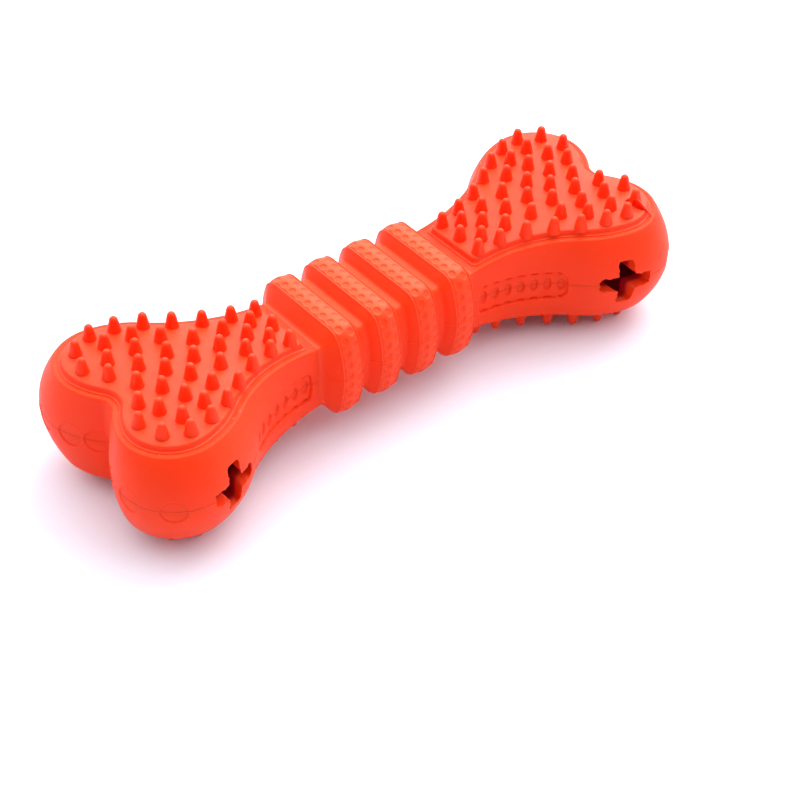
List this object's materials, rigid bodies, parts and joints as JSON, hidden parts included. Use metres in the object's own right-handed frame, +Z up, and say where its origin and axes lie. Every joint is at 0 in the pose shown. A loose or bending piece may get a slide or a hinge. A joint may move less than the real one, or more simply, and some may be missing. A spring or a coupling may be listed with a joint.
{
  "type": "rubber treat bone",
  "caption": "Bone-shaped rubber chew toy with hollow nubbed ends, cross-shaped treat openings and a ribbed waist that bends and springs back.",
  "frame": {"origin": "middle of the bone's footprint, on the floor under its lower nub tips", "axes": "+X along the bone, +Y across it, +Z up"},
  "size_m": [0.1792, 0.0662, 0.0388],
  "materials": {
    "shell_rubber": "satin moulded rubber, orange-red",
    "pad_rubber": "fine matt moulded rubber, orange-red",
    "rib_rubber": "satin moulded rubber with shallow dimples",
    "web_rubber": "satin moulded rubber"
  },
  "bodies": {
    "left_end": {"left_head_upper": "shell_rubber", "left_head_lower": "shell_rubber", "left_top_pad": "pad_rubber", "left_bottom_pad": "pad_rubber", "rib_1": "rib_rubber", "groove_web_1": "web_rubber"},
    "waist_left": {"rib_2": "rib_rubber", "groove_web_2": "web_rubber"},
    "waist_right": {"rib_3": "rib_rubber", "groove_web_3": "web_rubber"},
    "right_end": {"rib_4": "rib_rubber", "right_head_upper": "shell_rubber", "right_head_lower": "shell_rubber", "right_top_pad": "pad_rubber", "right_bottom_pad": "pad_rubber"}
  },
  "joints": [
    {"name": "waist_bend_1", "type": "hinge", "parent": "left_end", "child": "waist_left", "pos_m": [-0.01264, 0, 0.0194], "axis": [0, 0, 1], "range_deg": [-6, 6], "stiffness_Nm_per_rad": 2, "deforming": ["groove_web_1"]},
    {"name": "waist_bend_2", "type": "hinge", "parent": "waist_left", "child": "waist_right", "pos_m": [0, 0, 0.0194], "axis": [0, 0, 1], "range_deg": [-6, 6], "stiffness_Nm_per_rad": 2, "deforming": ["groove_web_2"]},
    {"name": "waist_bend_3", "type": "hinge", "parent": "waist_right", "child": "right_end", "pos_m": [0.01264, 0, 0.0194], "axis": [0, 0, 1], "range_deg": [-6, 6], "stiffness_Nm_per_rad": 2, "deforming": ["groove_web_3"]}
  ],
  "couplings": [
    {"joint": "waist_bend_1", "follows": "waist_bend_3", "ratio": 1},
    {"joint": "waist_bend_2", "follows": "waist_bend_3", "ratio": 1}
  ]
}
